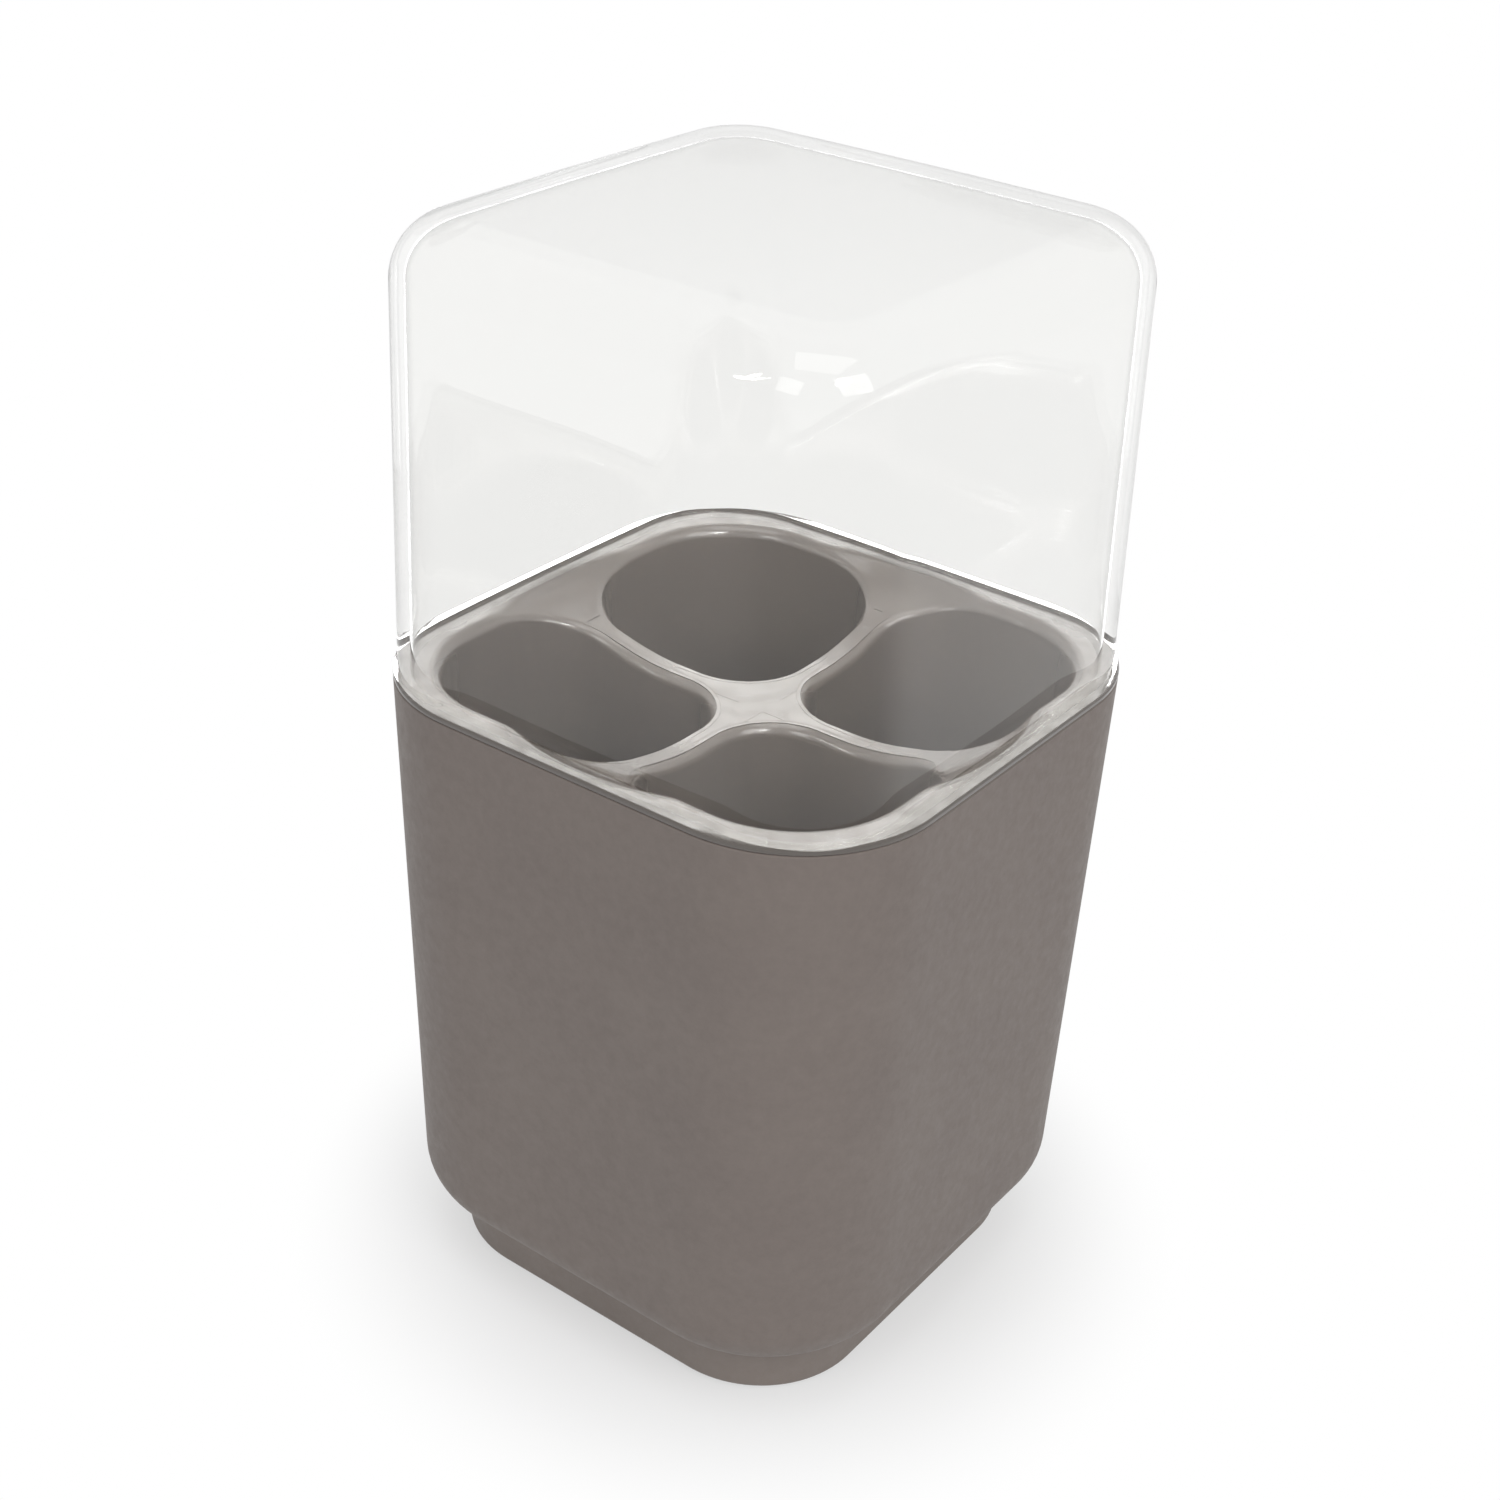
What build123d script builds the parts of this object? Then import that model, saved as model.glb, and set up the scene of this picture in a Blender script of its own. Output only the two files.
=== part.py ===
from build123d import *
import os
from math import sqrt

# Covered toothbrush holder in millimetres. Z is up and the holder stands on z = 0.
# Plan sizes are half widths of a rounded square.

# Outer body, an open tapered sleeve with a curled-in lower edge
body_half_top = 40.0
body_half_low = 38.7
body_corner_top = 20.5
body_corner_low = 21.5
body_rim_z = 92.2
body_base_z = 8.8
body_base_round = 6.6
body_wall = 2.4
body_seat_width = 1.1
body_rim_round = 0.3

# Base plinth, a stepped plug that closes the sleeve from below
plinth_half = 32.9
plinth_corner = 16.0
plinth_edge_round = 0.8
plinth_floor = 2.4
spigot_half = 30.4
spigot_corner = 13.4
spigot_height = 4.0
spigot_wall = 2.2
spigot_gap = 0.1

# Non-slip pads in shallow recesses under the plinth
pad_radius = 4.5
pad_thick = 1.6
pad_proud = 0.8
pad_pitch = 42.0
pad_edge_round = 0.3
pad_gap = 0.1

# Clear cover, a thin dome with slightly bowed sides
cover_half_low = 37.5
cover_half_top = 36.0
cover_bow = 1.0
cover_corner_bow = 0.15
cover_corner_low = 15.0
cover_corner_top = 12.0
cover_top_z = 152.6
cover_round = 8.0
cover_wall = 2.0
cover_edge_round = 0.4

# Compartment insert: a flange that lies on the rim, with a lip round the cover's seat
seat_z = body_rim_z + 0.35
lip_z = body_rim_z + 0.85
lip_gap = 0.25
lip_round = 0.3
plug_gap = 0.35
plug_depth = 4.9

# The insert's four deep cups and the dished top of the walls between them
cup_far = 33.9
cup_near = 2.0
cup_corner_outer = 15.0
cup_corner_inner = 9.0
cup_draft = 1.2
cup_floor_z = 16.0
cup_floor_round = 6.0
cup_wall = 1.6
mouth_round = 1.8
bridge_depth = 7.0
dish_flat = 14.0
dish_depth = 8.2
dish_sweep = 36.0
dish_lip_round = 3.0

tiny = 0.01
overcut = 1.0
os.makedirs("parts", exist_ok=True)


def rounded_square(half, corner, z):
    return Pos(0, 0, z) * RectangleRounded(2 * half, 2 * half, corner)


def tapered(low, high):
    """Block between two rounded squares, each given as half width, corner radius and height."""
    return loft([rounded_square(*low), rounded_square(*high)], ruled=True)


def edges_between(shape, z_low, z_high):
    """Edges that lie wholly between two heights."""
    boxes = [(edge, edge.bounding_box()) for edge in shape.edges()]
    return ShapeList(
        edge for edge, box in boxes if box.min.Z > z_low - tiny and box.max.Z < z_high + tiny
    )


def outer_body():
    outside = tapered(
        (body_half_low, body_corner_low, body_base_z),
        (body_half_top, body_corner_top, body_rim_z),
    )
    outside = fillet(edges_between(outside, body_base_z, body_base_z), body_base_round)
    outside = fillet(edges_between(outside, body_rim_z, body_rim_z), body_rim_round)
    inside = tapered(
        (body_half_low - body_wall, body_corner_low - body_wall, body_base_z + body_wall),
        (body_half_top - body_wall, body_corner_top - body_wall, body_rim_z),
    )
    floor_z = body_base_z + body_wall
    inside = fillet(edges_between(inside, floor_z, floor_z), body_base_round - body_wall)
    bevel = body_wall - body_seat_width
    mouth = tapered(
        (body_half_top - body_wall, body_corner_top - body_wall, body_rim_z - bevel),
        (body_half_top - body_seat_width, body_corner_top - body_seat_width, body_rim_z),
    )
    opening = extrude(rounded_square(spigot_half, spigot_corner, body_base_z), body_wall)
    return outside - inside - mouth - opening


def pad_places():
    return GridLocations(pad_pitch, pad_pitch, 2, 2)


def base_plinth():
    height = body_base_z - pad_proud
    foot = extrude(rounded_square(plinth_half, plinth_corner, pad_proud), height)
    foot = fillet(edges_between(foot, pad_proud, pad_proud), plinth_edge_round)
    half = spigot_half - spigot_gap
    spigot = extrude(rounded_square(half, spigot_corner - spigot_gap, body_base_z), spigot_height)
    well_z = pad_proud + plinth_floor
    well_corner = spigot_corner - spigot_gap - spigot_wall
    well = extrude(rounded_square(half - spigot_wall, well_corner, well_z), height + spigot_height)
    recess = Cylinder(
        pad_radius + pad_gap,
        pad_thick - pad_proud,
        align=(Align.CENTER, Align.CENTER, Align.MIN),
    )
    recesses = [place * Pos(0, 0, pad_proud) * recess for place in pad_places()]
    return foot + spigot - well - recesses


def grip_pads():
    pad = Cylinder(pad_radius, pad_thick, align=(Align.CENTER, Align.CENTER, Align.MIN))
    pad = fillet(edges_between(pad, 0, 0), pad_edge_round)
    return [place * pad for place in pad_places()]


def bowed_square(half, corner, z):
    """Plan of the cover: every side bows out a little between the rounded corners."""
    corner_reach = half + cover_corner_bow
    sides = []
    for quarter in range(4):
        start = Vector(corner_reach, -corner_reach).rotate(Axis.Z, 90 * quarter)
        middle = Vector(half + cover_bow, 0).rotate(Axis.Z, 90 * quarter)
        end = Vector(corner_reach, corner_reach).rotate(Axis.Z, 90 * quarter)
        sides.append(ThreePointArc(start, middle, end))
    plan = make_face(Wire(sides))
    return Pos(0, 0, z) * fillet(plan.vertices(), corner)


def cover_form(inset):
    """The cover's outer form, drawn in evenly by inset."""
    top_z = cover_top_z - inset
    low = bowed_square(cover_half_low - inset, cover_corner_low - inset, seat_z)
    high = bowed_square(cover_half_top - inset, cover_corner_top - inset, top_z)
    form = loft([low, high], ruled=True)
    return fillet(edges_between(form, top_z, top_z), cover_round - inset)


def clear_cover():
    outside = cover_form(0)
    outside = fillet(edges_between(outside, seat_z, seat_z), cover_edge_round)
    return outside - cover_form(cover_wall)


def cup(grow):
    """The cup in the +X +Y quarter as a solid, drafted, with a rounded floor, grown by grow."""
    near = cup_near - grow
    far = cup_far + grow
    inner = cup_corner_inner + grow
    corners = [(near, near), (far, near), (far, far), (near, far)]
    outline = FilletPolyline(*corners, radius=[inner, inner, cup_corner_outer + grow, inner], close=True)
    floor_z = cup_floor_z - grow
    form = extrude(Pos(0, 0, floor_z) * make_face(outline), seat_z - floor_z)
    sides = form.faces().filter_by(lambda face: face.bounding_box().size.Z > cup_floor_z)
    form = draft(sides, Plane.XY.offset(seat_z), -cup_draft)
    return fillet(edges_between(form, floor_z, floor_z), cup_floor_round + grow)


def four_cups(grow):
    return [Rot(0, 0, 90 * quarter) * cup(grow) for quarter in range(4)]


def dish():
    """Space above the sunken walls: flat in the middle, swept up to the seat on all sides."""
    low_z = body_rim_z - dish_depth
    sweep_z = low_z + dish_sweep
    crown_z = seat_z - dish_lip_round
    span = dish_sweep + dish_lip_round
    crown_r = dish_flat + sqrt(span**2 - (sweep_z - crown_z) ** 2)
    share = dish_sweep / span
    join = (dish_flat + (crown_r - dish_flat) * share, sweep_z + (crown_z - sweep_z) * share)
    top_z = lip_z + overcut
    floor = Line((0, low_z), (dish_flat, low_z))
    sweep = TangentArc(floor @ 1, join, tangent=(1, 0))
    crown = TangentArc(sweep @ 1, (crown_r, seat_z), tangent=sweep % 1)
    outline = Polyline(crown @ 1, (crown_r, top_z), (0, top_z), floor @ 0)
    section = make_face(Wire([floor, sweep, crown, *outline.edges()]))
    return revolve(Plane.XZ * section, Axis.Z)


def insert_hollow():
    """Everything open to the top: the cover's seat, the dish and the cups with rounded mouths."""
    seat_plan = bowed_square(cover_half_low + lip_gap, cover_corner_low + lip_gap, seat_z)
    hollow = extrude(seat_plan, lip_z + overcut - seat_z) + dish() + four_cups(0)
    cup_sides = [face for face in hollow.faces() if face.bounding_box().min.Z < seat_z - 2 * dish_depth]
    low_z = body_rim_z - dish_depth
    mouths = ShapeList(edge for side in cup_sides for edge in edges_between(side, low_z, seat_z))
    return fillet(mouths, mouth_round)


def compartment_insert():
    bevel = body_wall - body_seat_width
    top_inset = body_seat_width + plug_gap
    low_inset = top_inset + bevel
    top = (body_half_top - top_inset, body_corner_top - top_inset, body_rim_z)
    low = (body_half_top - low_inset, body_corner_top - low_inset, body_rim_z - bevel)
    hem = (low[0], low[1], body_rim_z - plug_depth)
    flange = extrude(rounded_square(body_half_top, body_corner_top, body_rim_z), lip_z - body_rim_z)
    flange_edges = edges_between(flange, lip_z, lip_z) + edges_between(flange, body_rim_z, body_rim_z)
    flange = fillet(flange_edges, lip_round)
    bridge_top = body_rim_z - dish_depth + mouth_round
    bridge_size = (2 * cup_far, 2 * cup_near, bridge_depth + mouth_round)
    bridge = Pos(0, 0, bridge_top) * Box(*bridge_size, align=(Align.CENTER, Align.CENTER, Align.MAX))
    solid = flange + tapered(low, top) + tapered(hem, low) + four_cups(cup_wall)
    solid = solid + bridge + Rot(0, 0, 90) * bridge
    return solid - insert_hollow()


nodes = {
    "outer_body": outer_body(),
    "base_plinth": base_plinth(),
    "compartment_insert": compartment_insert(),
    "clear_cover": clear_cover(),
}
for count, pad in enumerate(grip_pads(), 1):
    nodes[f"grip_pad_{count}"] = pad

for name, shape in nodes.items():
    export_step(shape, f"parts/{name}.step")
    print(name, round(shape.volume), shape.bounding_box())
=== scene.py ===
from math import copysign, cos, pi, radians, sin

import bmesh
import bpy
from mathutils import Matrix, Vector


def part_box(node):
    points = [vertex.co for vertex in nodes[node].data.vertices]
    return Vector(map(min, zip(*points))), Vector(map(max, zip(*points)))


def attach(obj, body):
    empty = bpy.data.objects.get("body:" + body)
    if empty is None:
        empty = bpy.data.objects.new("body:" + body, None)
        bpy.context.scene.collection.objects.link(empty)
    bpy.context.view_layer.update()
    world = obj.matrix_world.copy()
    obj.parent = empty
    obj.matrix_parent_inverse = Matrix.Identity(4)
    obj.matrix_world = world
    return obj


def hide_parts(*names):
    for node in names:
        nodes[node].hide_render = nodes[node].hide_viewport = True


# Covered toothbrush holder: matte moulded body, glossy insert with four deep cups, clear dome cover.
# Piece sizes are in millimetres and mm turns them into metres.
mm = 0.001
absIor = 1.53
mergeGap = 0.002  # vertices closer than this are one
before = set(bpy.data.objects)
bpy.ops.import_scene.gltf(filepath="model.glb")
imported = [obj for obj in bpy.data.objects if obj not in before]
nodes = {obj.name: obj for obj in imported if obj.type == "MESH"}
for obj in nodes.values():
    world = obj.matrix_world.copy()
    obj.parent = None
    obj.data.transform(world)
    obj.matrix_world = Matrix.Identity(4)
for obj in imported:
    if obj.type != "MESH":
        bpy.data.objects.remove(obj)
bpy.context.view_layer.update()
print("frame loaded:", ", ".join(sorted(nodes)))


def linear(hexColour):
    # sRGB hex to linear RGBA
    channels = [int(hexColour[i : i + 2], 16) / 255 for i in (1, 3, 5)]
    return [c / 12.92 if c <= 0.04045 else ((c + 0.055) / 1.055) ** 2.4 for c in channels] + [1.0]


def addNode(tree, kind, settings=None, links=None):
    # settings go to sockets or to properties, links join other nodes' outputs to sockets
    node = tree.nodes.new("ShaderNode" + kind)
    for name, value in (settings or {}).items():
        if hasattr(node, str(name)):
            setattr(node, name, value)
        else:
            node.inputs[name].default_value = value
    for name, socket in (links or {}).items():
        tree.links.new(socket, node.inputs[name])
    return node


def startMaterial(name):
    material = bpy.data.materials.new(name)
    material.use_nodes = True
    tree = material.node_tree
    place = addNode(tree, "TexCoord").outputs["Object"]
    return material, tree, tree.nodes["Principled BSDF"], place


def noise(tree, place, size, detail=2.0, roughness=0.5):
    settings = {"Scale": 1 / (size * mm), "Detail": detail, "Roughness": roughness}
    return addNode(tree, "TexNoise", settings, {"Vector": place}).outputs["Fac"]


def blend(tree, share, colour, other):
    settings = {"data_type": "RGBA", 6: linear(colour), 7: linear(other)}
    return addNode(tree, "Mix", settings, {0: share}).outputs[2]


def spread(tree, value, low, high):
    # stretches the middle of a noise to the range low to high
    settings = {"From Min": 0.3, "From Max": 0.7, "To Min": low, "To Max": high}
    return addNode(tree, "MapRange", settings, {"Value": value}).outputs["Result"]


# Moulded ABS with a fine spark-eroded texture: matte, slightly speckled, with a soft broad sheen.
mattePlastic = dict(
    colour="#827872", dark="#7A706B",
    grain=0.5, speckle=1.6, cloud=18.0,  # the grain is coarser than real, so that it shows
    roughness=(0.46, 0.60), bumpHeight=0.03, bumpStrength=0.5,
)


def makeMatte(name, look):
    material, tree, shader, place = startMaterial(name)
    grain = noise(tree, place, look["grain"], detail=3.0, roughness=0.6)
    speckle = noise(tree, place, look["speckle"], detail=4.0, roughness=0.7)
    cloud = noise(tree, place, look["cloud"])
    both = addNode(tree, "Math", {"operation": "ADD"}, {0: speckle, 1: cloud}).outputs[0]
    tone = addNode(tree, "MapRange", {"From Min": 0.6, "From Max": 1.4}, {"Value": both}).outputs[0]
    relief = {"Strength": look["bumpStrength"], "Distance": look["bumpHeight"] * mm}
    bump = addNode(tree, "Bump", relief, {"Height": grain}).outputs[0]
    tree.links.new(blend(tree, tone, look["colour"], look["dark"]), shader.inputs["Base Color"])
    tree.links.new(spread(tree, speckle, *look["roughness"]), shader.inputs["Roughness"])
    tree.links.new(bump, shader.inputs["Normal"])
    shader.inputs["IOR"].default_value = absIor
    return material


# Moulded ABS from a polished cavity: wet-looking, with the faint ripple of a flowed surface.
glossPlastic = dict(
    # the same taupe plastic as the body, its colour set much darker: painted shade for the deep cups
    colour="#5B544E", dark="#544D48", cloud=25.0,
    ripple=9.0, rippleHeight=0.03, streak=3.0, roughness=(0.14, 0.24), coat=0.8, coatRoughness=0.06,
)


def makeGloss(name, look):
    material, tree, shader, place = startMaterial(name)
    cloud = noise(tree, place, look["cloud"], detail=3.0)
    ripple = noise(tree, place, look["ripple"], detail=1.0)
    streak = noise(tree, place, look["streak"])
    tone = spread(tree, cloud, 0.0, 1.0)
    bump = addNode(tree, "Bump", {"Distance": look["rippleHeight"] * mm}, {"Height": ripple}).outputs[0]
    tree.links.new(blend(tree, tone, look["colour"], look["dark"]), shader.inputs["Base Color"])
    tree.links.new(spread(tree, streak, *look["roughness"]), shader.inputs["Roughness"])
    tree.links.new(bump, shader.inputs["Normal"])
    shader.inputs["IOR"].default_value = absIor
    shader.inputs["Coat Weight"].default_value = look["coat"]
    shader.inputs["Coat Roughness"].default_value = look["coatRoughness"]
    return material


# Clear moulded SAN: see-through, faintly grey, with soft edges and small bright reflections.
clearPlastic = dict(
    # edge and glancing paint shade: the wall's colour turns grey where it is seen at a glancing angle
    colour="#FAFAF9", edge="#DEDEDD", glancing=(0.62, 0.85),
    ior=1.02,  # under the real 1.57, because so thin a wall bends what is behind it very little
    shine=0.8, shineRoughness=0.012, ripple=30.0, rippleHeight=0.008,
    haze=7.0, roughness=(0.008, 0.014),
)


def makeClear(name, look):
    material, tree, shader, place = startMaterial(name)
    ripple = noise(tree, place, look["ripple"], detail=1.0)
    haze = noise(tree, place, look["haze"], detail=3.0)
    bump = addNode(tree, "Bump", {"Distance": look["rippleHeight"] * mm}, {"Height": ripple}).outputs[0]
    # painted shade: the wall's colour is made a little darker where it is seen at a glancing angle
    facing = addNode(tree, "LayerWeight", {"Blend": 0.5}).outputs["Facing"]
    low, high = look["glancing"]
    ranges = {"interpolation_type": "SMOOTHSTEP", "From Min": low, "From Max": high}
    glancing = addNode(tree, "MapRange", ranges, {"Value": facing}).outputs[0]
    tree.links.new(blend(tree, glancing, look["colour"], look["edge"]), shader.inputs["Base Color"])
    shader.inputs["Transmission Weight"].default_value = 1.0
    shader.inputs["IOR"].default_value = look["ior"]
    shader.inputs["Coat Weight"].default_value = look["shine"]
    shader.inputs["Coat Roughness"].default_value = look["shineRoughness"]
    tree.links.new(spread(tree, haze, *look["roughness"]), shader.inputs["Roughness"])
    tree.links.new(bump, shader.inputs["Normal"])
    # shadow rays pass, so the lamps light what the cover stands over
    rays = addNode(tree, "LightPath").outputs["Is Shadow Ray"]
    passing = addNode(tree, "BsdfTransparent", {"Color": linear(look["colour"])}).outputs[0]
    mixed = addNode(tree, "MixShader", None, {0: rays, 1: shader.outputs[0], 2: passing}).outputs[0]
    tree.links.new(mixed, tree.nodes["Material Output"].inputs["Surface"])
    return material


# Moulded silicone pad: dark, dull and slightly dusty.
padRubber = dict(
    colour="#3A3835", dark="#2E2C2A", grain=0.6, speckle=2.0, cloud=9.0,
    roughness=(0.75, 0.92), bumpHeight=0.03, bumpStrength=0.6,
)

# Moulded ABS like the body's, a little lighter and smoother.
plinthPlastic = dict(mattePlastic, colour="#8E847E", dark="#867C76", roughness=(0.42, 0.54))

bodyMaterial = makeMatte("textured ABS", mattePlastic)
plinthMaterial = makeMatte("fine matte ABS", plinthPlastic)
insertMaterial = makeGloss("polished ABS", glossPlastic)
coverMaterial = makeClear("clear SAN", clearPlastic)
padMaterial = makeMatte("silicone rubber", padRubber)
print("materials made")


def planRing(bm, half, corner, height, bow=0.0, cornerBow=0.0, steps=20, cuts=12):
    # one closed ring of edges on a rounded square, its sides bowed out between the corners
    turn = Matrix.Rotation(pi / (4 * steps), 4, "Z")
    verts = bmesh.ops.create_circle(bm, radius=corner, segments=4 * steps, matrix=turn)["verts"]
    for v in verts:
        v.co += Vector((copysign(half - corner, v.co.x), copysign(half - corner, v.co.y), height))
    ring = [edge for edge in bm.edges if not edge.tag]
    sides = sorted(ring, key=lambda edge: -edge.calc_length())[:4]
    bmesh.ops.subdivide_edges(bm, edges=sides, cuts=cuts)
    ring = [edge for edge in bm.edges if not edge.tag]
    for edge in ring:
        edge.tag = True
    for v in {v for edge in ring for v in edge.verts}:
        reach = half - corner
        centre = Vector((min(max(v.co.x, -reach), reach), min(max(v.co.y, -reach), reach), height))
        share = abs(v.co.x * v.co.y) / (v.co.xy.length * half)
        v.co += (v.co - centre).normalized() * (cornerBow + (bow - cornerBow) * (1 - share**2))
    return ring


def skinRings(bm, profile, closed=False, **plan):
    rings = [planRing(bm, *place, **plan) for place in profile]
    pairs = list(zip(rings, rings[1:])) + ([(rings[-1], rings[0])] if closed else [])
    for first, second in pairs:
        bmesh.ops.bridge_loops(bm, edges=first + second)
    return rings


def roundPlaces(half, corner, height, radius, start, end, steps):
    # places on a quarter round about a centre that is given as a plan and a height
    turns = [radians(start + (end - start) * i / steps) for i in range(steps + 1)]
    return [(half + radius * cos(a), corner + radius * cos(a), height + radius * sin(a)) for a in turns]


def between(low, high, steps):
    # places on a straight wall from low to high, without its two ends
    shares = [i / steps for i in range(1, steps)]
    return [tuple(a + (b - a) * s for a, b in zip(low, high)) for s in shares]


def finishPiece(bm, name, material, sharp=35, weighted=True):
    bmesh.ops.recalc_face_normals(bm, faces=bm.faces)
    for face in bm.faces:
        face.smooth = True
    for edge in bm.edges:
        edge.smooth = edge.calc_face_angle(0) < radians(sharp)
    bmesh.ops.scale(bm, vec=(mm, mm, mm), verts=bm.verts)
    mesh = bpy.data.meshes.new(name)
    bm.to_mesh(mesh)
    bm.free()
    piece = bpy.data.objects.new(name, mesh)
    bpy.context.scene.collection.objects.link(piece)
    mesh.materials.append(material)
    if weighted:
        piece.modifiers.new("flat faces lead", "WEIGHTED_NORMAL").keep_sharp = True
    return piece


bodyLow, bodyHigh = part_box("outer_body")
body = dict(
    halfTop=40.0, cornerTop=20.5, halfLow=38.7, cornerLow=21.5,
    rimZ=bodyHigh.z / mm, baseZ=bodyLow.z / mm, baseRound=6.6,
    wall=2.4, seatWidth=1.1, rimRound=0.3, holeHalf=30.4, holeCorner=13.4,
    fall=0.02,  # flats fall a trace inwards
    rimSteps=4, curlSteps=14, outerSteps=10, innerSteps=8,
)


def makeBody(size):
    low, high = size["baseZ"], size["rimZ"]

    def outside(z, inset=0.0):
        share = (z - low) / (high - low)
        half = size["halfLow"] + (size["halfTop"] - size["halfLow"]) * share - inset
        corner = size["cornerLow"] + (size["cornerTop"] - size["cornerLow"]) * share - inset
        return half, corner, z

    wall, seat = size["wall"], size["seatWidth"]
    bevelZ = high - (wall - seat)
    rim = outside(high - size["rimRound"], size["rimRound"])
    curl = outside(low + size["baseRound"], size["baseRound"])
    rimRound = roundPlaces(*rim, size["rimRound"], 90, 0, size["rimSteps"])
    curlRound = roundPlaces(*curl, size["baseRound"], 0, -90, size["curlSteps"])
    innerRound = roundPlaces(*curl, size["baseRound"] - wall, -90, 0, size["innerSteps"])
    seatRing = outside(high, seat)[:2] + (high - size["fall"],)
    hole = (size["holeHalf"], size["holeCorner"])
    bevel = outside(bevelZ, wall)
    profile = [seatRing] + rimRound + between(rimRound[-1], curlRound[0], size["outerSteps"]) + curlRound
    profile += [(*hole, low + size["fall"]), (*hole, low + wall - size["fall"])]
    profile += innerRound + between(innerRound[-1], bevel, size["innerSteps"]) + [bevel]
    bm = bmesh.new()
    skinRings(bm, profile, closed=True)
    return finishPiece(bm, "bodyShell", bodyMaterial)


bodyShell = makeBody(body)
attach(bodyShell, "base")
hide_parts("outer_body")
print("body made,", len(bodyShell.data.polygons), "faces")

coverLow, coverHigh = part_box("clear_cover")
cover = dict(
    halfLow=37.5, cornerLow=15.0, halfTop=36.0, cornerTop=12.0,
    lowZ=coverLow.z / mm, topZ=coverHigh.z / mm, bow=1.0, cornerBow=0.15,
    wall=2.0, topRound=8.0, footRound=0.4, steps=28, cuts=24,
    crownSteps=16, wallSteps=12, footSteps=4,
    topShares=(0.98, 0.85, 0.6, 0.35, 0.12), sink=0.05,  # the flat top sinks a trace to its middle
)


def makeCover(size):
    low, high = size["lowZ"], size["topZ"]

    def side(z, inset=0.0):
        share = (z - low) / (high - low)
        half = size["halfLow"] + (size["halfTop"] - size["halfLow"]) * share - inset
        corner = size["cornerLow"] + (size["cornerTop"] - size["cornerLow"]) * share - inset
        return half, corner, z

    def dome(inset):
        # from the foot of the wall to the middle of the top
        top, radius = high - inset, size["topRound"] - inset
        turns = [radians(90 * i / size["crownSteps"]) for i in range(size["crownSteps"] + 1)]
        crown = [side(top - radius + radius * sin(a), inset + radius * (1 - cos(a))) for a in turns]
        flatHalf, flatCorner, _ = crown[-1]
        shares = size["topShares"]
        inwards = [(flatHalf * s, flatCorner * s, top - size["sink"] * (1 - s)) for s in shares]
        return between(side(low, inset), crown[0], size["wallSteps"]) + crown + inwards

    foot = side(low + size["footRound"], size["footRound"])
    footRound = roundPlaces(*foot, size["footRound"], -90, 0, size["footSteps"])
    bm = bmesh.new()
    plan = {name: size[name] for name in ("bow", "cornerBow", "steps", "cuts")}
    innerFoot = side(low, size["wall"])[:2] + (low + size["sink"],)
    profile = dome(size["wall"])[::-1] + [innerFoot] + footRound + dome(0.0)
    rings = skinRings(bm, profile, **plan)
    for ring in (rings[0], rings[-1]):
        bmesh.ops.contextual_create(bm, geom=ring)
    return finishPiece(bm, "coverShell", coverMaterial, weighted=False)


coverShell = makeCover(cover)
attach(coverShell, "cover")
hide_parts("clear_cover")
print("cover made,", len(coverShell.data.polygons), "faces")


insert = dict(
    dishZ=84.0, dishFlat=14.0, dishSweep=36.0, webRadius=29.0, webThick=2.0, webDrop=0.02, webSteps=12,
    cupHalf=16.8, cupCorner=9.8, cupPitch=35.9, cupCut=(70.0, 100.0),
    rise=2.2, riseFrom=(76.0, 82.0), riseTo=(84.5, 92.0), riseEdge=(35.0, 37.0),
)


def easeIn(value, low, high):
    share = min(max((value - low) / (high - low), 0.0), 1.0)
    return share * share * (3 - 2 * share)


def cupBlock(size, place):
    bm = bmesh.new()
    plan = (size["cupHalf"], size["cupCorner"])
    rings = [planRing(bm, *plan, z, steps=12, cuts=1) for z in size["cupCut"]]
    bmesh.ops.bridge_loops(bm, edges=rings[0] + rings[1])
    for ring in rings:
        bmesh.ops.contextual_create(bm, geom=ring)
    bmesh.ops.translate(bm, vec=place, verts=bm.verts)
    return finishPiece(bm, "cupBlock", insertMaterial, weighted=False)


def makeWeb(size):
    # the floor of the dish between the cups, spun to its profile and cut clear of the four cups
    flat, radius = size["dishFlat"], size["dishSweep"]
    sweep = [(0.0, size["dishZ"])]
    for i in range(size["webSteps"] + 1):
        out = (size["webRadius"] - flat) * i / size["webSteps"]
        sweep.append((flat + out, size["dishZ"] + radius - (radius**2 - out**2) ** 0.5))
    bm = bmesh.new()
    top = [bm.verts.new((r, 0, z - size["webDrop"])) for r, z in sweep]
    low = [bm.verts.new((r, 0, z - size["webThick"])) for r, z in sweep[::-1]]
    profile = [bm.edges.new(pair) for pair in zip(top + low, (top + low)[1:])]
    turn = dict(axis=(0, 0, 1), cent=(0, 0, 0), angle=2 * pi, steps=96, use_merge=True)
    bmesh.ops.spin(bm, geom=top + low + profile, **turn)
    bmesh.ops.remove_doubles(bm, verts=bm.verts, dist=mergeGap)
    web = finishPiece(bm, "insertWeb", insertMaterial, weighted=False)
    half = size["cupPitch"] / 2
    blocks = [cupBlock(size, (x * half, y * half, 0)) for x in (-1, 1) for y in (-1, 1)]
    for block in blocks:
        cut = web.modifiers.new("cup", "BOOLEAN")
        cut.operation, cut.object, cut.solver = "DIFFERENCE", block, "EXACT"
    graph = bpy.context.evaluated_depsgraph_get()
    web.data = bpy.data.meshes.new_from_object(web.evaluated_get(graph))
    web.modifiers.clear()
    for block in blocks:
        bpy.data.objects.remove(block)
    return web


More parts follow.
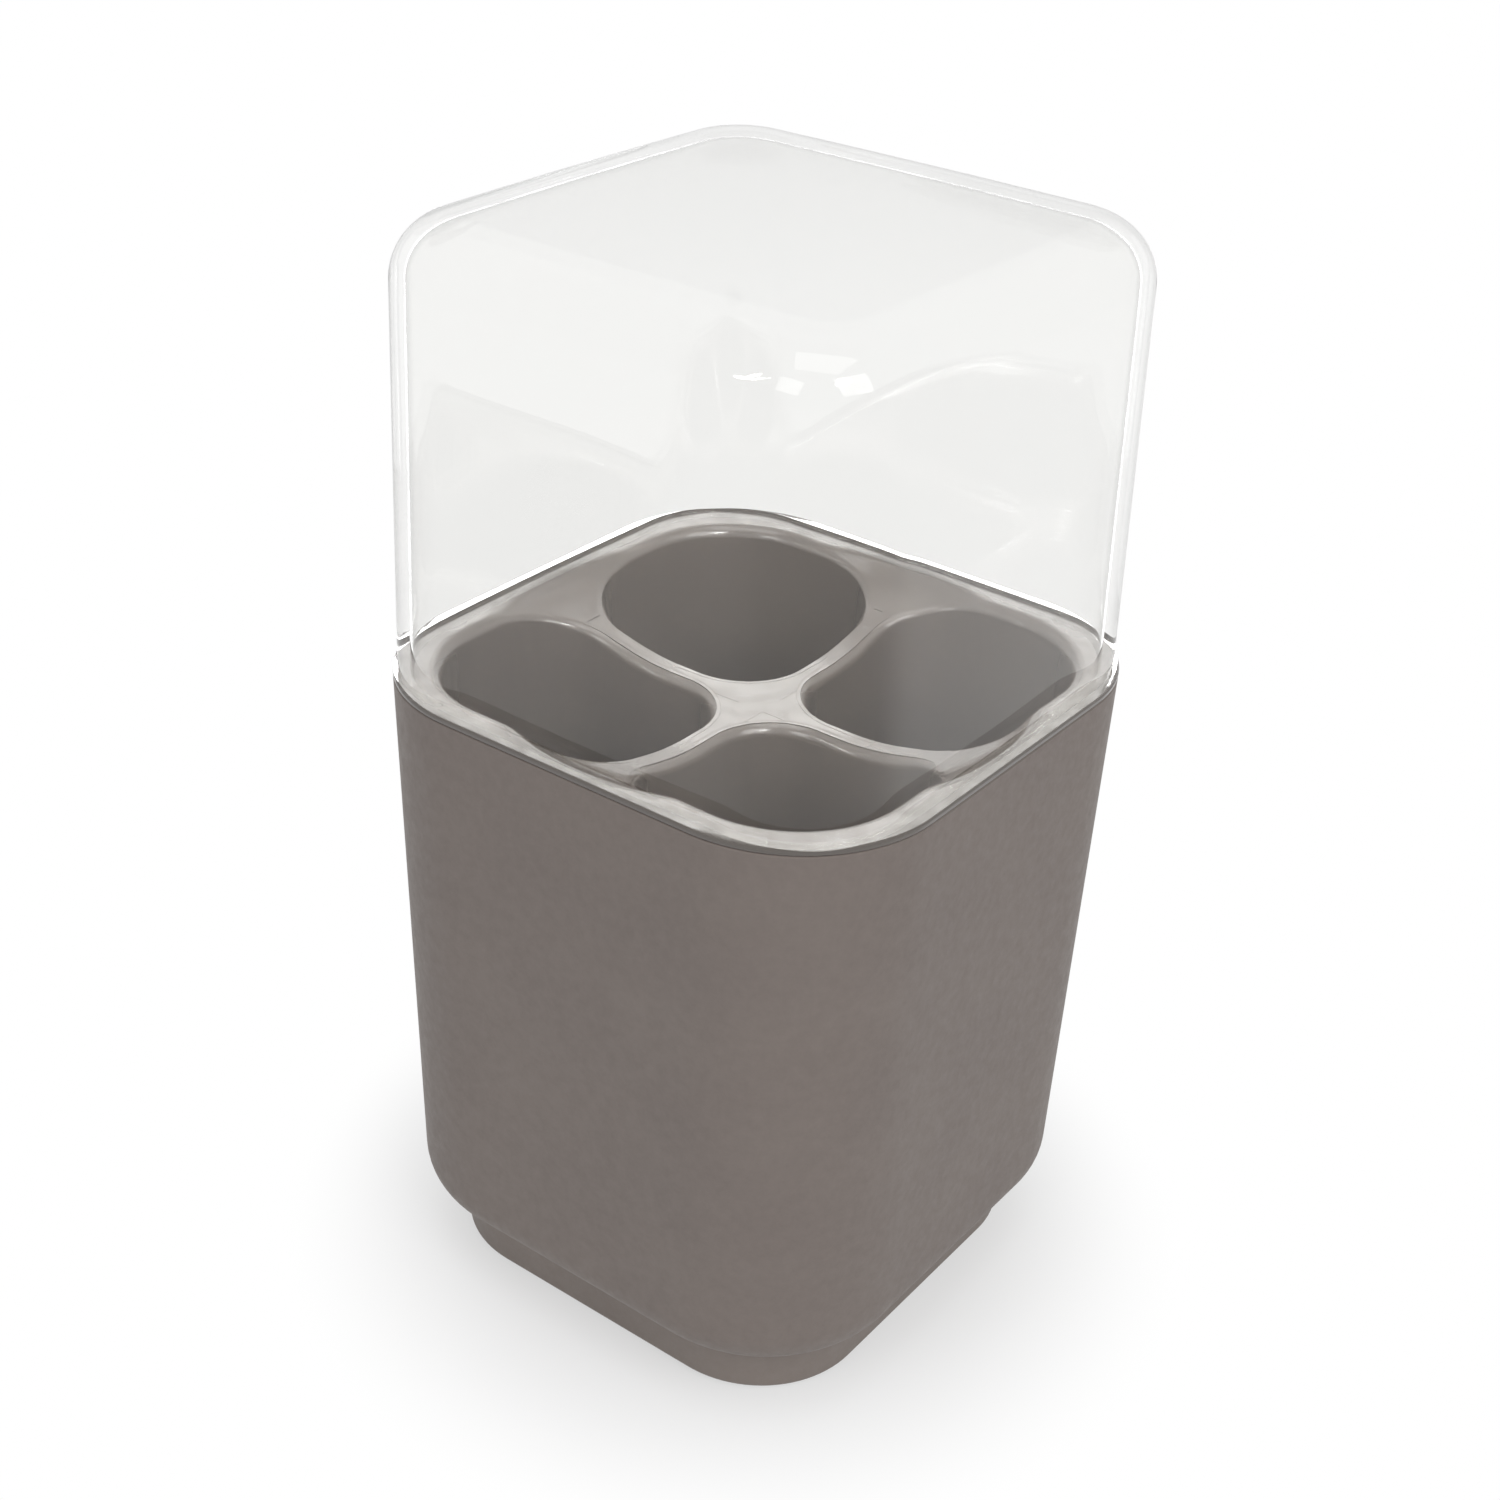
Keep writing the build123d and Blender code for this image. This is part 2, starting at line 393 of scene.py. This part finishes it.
def raiseDish(bm, size):
    # lifts the dish and the mouths round it, but not the floor, the seat or the outside
    for v in bm.verts:
        up = easeIn(v.co.z, *size["riseFrom"]) * (1 - easeIn(v.co.z, *size["riseTo"]))
        v.co.z += size["rise"] * up * (1 - easeIn(max(abs(v.co.x), abs(v.co.y)), *size["riseEdge"]))


def makeInsert(size):
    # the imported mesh, merged, so that its flats, rounds and cups shade as one moulded surface
    web = makeWeb(size)
    bm = bmesh.new()
    bm.from_mesh(nodes["compartment_insert"].data)
    bm.from_mesh(web.data)
    bpy.data.objects.remove(web)
    bmesh.ops.scale(bm, vec=(1 / mm, 1 / mm, 1 / mm), verts=bm.verts)
    bmesh.ops.remove_doubles(bm, verts=bm.verts, dist=mergeGap)
    raiseDish(bm, size)
    return finishPiece(bm, "insertMoulding", insertMaterial)


insertMoulding = makeInsert(insert)
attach(insertMoulding, "insert")
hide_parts("compartment_insert")
print("insert made,", len(insertMoulding.data.polygons), "faces")

finishes = dict(
    outer_body=bodyMaterial, base_plinth=plinthMaterial, compartment_insert=insertMaterial,
    clear_cover=coverMaterial, **{f"grip_pad_{i}": padMaterial for i in range(1, 5)},
)
for name, material in finishes.items():
    nodes[name].data.materials.clear()
    nodes[name].data.materials.append(material)
print("plinth and pads finished")

# White sweep: the camera, gloss and clear plastic see it glow white away from the holder.
# Nearer the holder the glow fades to a painted grey pool, and the holder's real shadow shows in it.
stage = dict(
    size=8.0, colour="#E8E8E8", roughness=0.9,
    glowNear=0.55, glowFar=1.0, near=0.034, far=0.068,
)
mirrorShare = 0.75  # how bright mirror images of the white surroundings are
worldLight = dict(fill=0.20, seen=1.0)


def seenRays(tree):
    # 1 for what the camera sees directly or through clear plastic, mirrorShare for mirror images
    # and 0 for light that falls on the object
    rays = addNode(tree, "LightPath").outputs
    dimmed = {"operation": "MULTIPLY", 1: mirrorShare}
    gloss = addNode(tree, "Math", dimmed, {0: rays["Is Glossy Ray"]}).outputs[0]
    larger = {"operation": "MAXIMUM"}
    seen = addNode(tree, "Math", larger, {0: rays["Is Camera Ray"], 1: gloss}).outputs[0]
    return addNode(tree, "Math", larger, {0: seen, 1: rays["Is Transmission Ray"]}).outputs[0]


def makeStage(look):
    bm = bmesh.new()
    bmesh.ops.create_grid(bm, x_segments=1, y_segments=1, size=look["size"] / 2)
    mesh = bpy.data.meshes.new("floor")
    bm.to_mesh(mesh)
    bm.free()
    floor = bpy.data.objects.new("floor", mesh)
    bpy.context.scene.collection.objects.link(floor)
    material, tree, shader, place = startMaterial("matte white sweep")
    shader.inputs["Base Color"].default_value = linear(look["colour"])
    shader.inputs["Roughness"].default_value = look["roughness"]
    shader.inputs["Specular IOR Level"].default_value = 0.0
    # painted shade: the glow fades towards the holder, so the floor is greyer round it even where no
    # shadow falls
    away = addNode(tree, "VectorMath", {"operation": "LENGTH"}, {0: place}).outputs["Value"]
    ranges = {
        "interpolation_type": "SMOOTHSTEP",
        "From Min": look["near"], "From Max": look["far"],
        "To Min": look["glowNear"], "To Max": look["glowFar"],
    }
    glow = addNode(tree, "MapRange", ranges, {"Value": away}).outputs[0]
    both = {0: seenRays(tree), 1: glow}
    share = addNode(tree, "Math", {"operation": "MULTIPLY"}, both).outputs[0]
    white = addNode(tree, "Emission", {"Strength": 1.0}).outputs[0]
    mixed = addNode(tree, "MixShader", None, {0: share, 1: shader.outputs[0], 2: white}).outputs[0]
    tree.links.new(mixed, tree.nodes["Material Output"].inputs["Surface"])
    mesh.materials.append(material)


makeStage(stage)


def makeWorld(light):
    world = bpy.data.worlds.new("studio")
    bpy.context.scene.world = world
    world.use_nodes = True
    tree = world.node_tree
    ranges = {"To Min": light["fill"], "To Max": light["seen"]}
    strength = addNode(tree, "MapRange", ranges, {"Value": seenRays(tree)}).outputs[0]
    tree.links.new(strength, tree.nodes["Background"].inputs["Strength"])
    tree.nodes["Background"].inputs["Color"].default_value = (1, 1, 1, 1)


makeWorld(worldLight)


def aimAt(azimuth, elevation, distance, target):
    # azimuth 0 stands on the -Y side and 90 on the +X side
    a, e = radians(azimuth), radians(elevation)
    back = Vector((sin(a) * cos(e), -cos(a) * cos(e), sin(e)))
    return back, target + back * distance


middle = Vector((0, 0, 0.09))
lamps = {
    # three broad soft boxes that gloss doesn't mirror
    "keyRight": dict(azimuth=75, elevation=38, distance=1.3, size=(0.8, 0.8), power=7.2),
    "fillLeft": dict(azimuth=-5, elevation=30, distance=1.3, size=(0.6, 0.6), power=3.4),
    "overhead": dict(azimuth=20, elevation=85, distance=1.4, size=(1.0, 1.0), power=6.0),
    # a low one behind for the bright edges of the insert
    "window": dict(
        azimuth=217, elevation=29, distance=1.2, size=(0.7, 0.28), power=11.0, only=insertMoulding
    ),
    # two small ones for the highlights on the cover
    "spotLeft": dict(
        azimuth=-32.4, elevation=25.3, distance=1.5, size=(0.03, 0.40), power=0.8,
        shape="ELLIPSE", only=coverShell,
    ),
    "spotRight": dict(
        azimuth=58.3, elevation=42.0, distance=1.5, size=(0.34, 0.24), power=4.6,
        shape="ELLIPSE", only=coverShell,
    ),
}
for name, look in lamps.items():
    back, where = aimAt(look["azimuth"], look["elevation"], look["distance"], middle)
    lamp = bpy.data.lights.new(name, "AREA")
    lamp.shape = look.get("shape", "RECTANGLE")
    lamp.size, lamp.size_y = look["size"]
    lamp.energy = look["power"]
    box = bpy.data.objects.new(name, lamp)
    box.location = where
    box.rotation_mode = "QUATERNION"
    box.rotation_quaternion = back.to_track_quat("Z", "Y")
    box.visible_glossy = "only" in look
    if "only" in look:
        lit = bpy.data.collections.new("lit by " + name)
        lit.objects.link(look["only"])
        box.light_linking.receiver_collection = lit
    bpy.context.scene.collection.objects.link(box)

# The photograph's view. The middle of its lens falls at pixel centreX, centreY of a frame of photoSize.
photoSize = 1500
view = dict(
    azimuth=35.81, elevation=29.68, roll=2.71, distance=0.31024, targetZ=0.07966,
    focalPixels=2300.2, centreX=756.9, centreY=743.7,
)


def makeCamera(view):
    a, e, r = (radians(view[name]) for name in ("azimuth", "elevation", "roll"))
    target = Vector((0, 0, view["targetZ"]))
    back, where = aimAt(view["azimuth"], view["elevation"], view["distance"], target)
    across = Vector((cos(a), sin(a), 0))
    up = back.cross(across)
    right = across * cos(r) + up * sin(r)
    camera = bpy.data.objects.new("camera", bpy.data.cameras.new("camera"))
    axes = Matrix((right, back.cross(right), back)).transposed().to_4x4()
    camera.matrix_world = Matrix.Translation(where) @ axes
    lens = camera.data
    lens.sensor_width = 36.0
    lens.lens = view["focalPixels"] / photoSize * lens.sensor_width
    lens.shift_x = (photoSize / 2 - view["centreX"]) / photoSize
    lens.shift_y = (view["centreY"] - photoSize / 2) / photoSize
    lens.clip_start, lens.clip_end = 0.01, 20.0
    bpy.context.scene.collection.objects.link(camera)
    bpy.context.scene.camera = camera


makeCamera(view)
bpy.context.scene.view_settings.view_transform = "Standard"
print("stage, lamps and camera set")
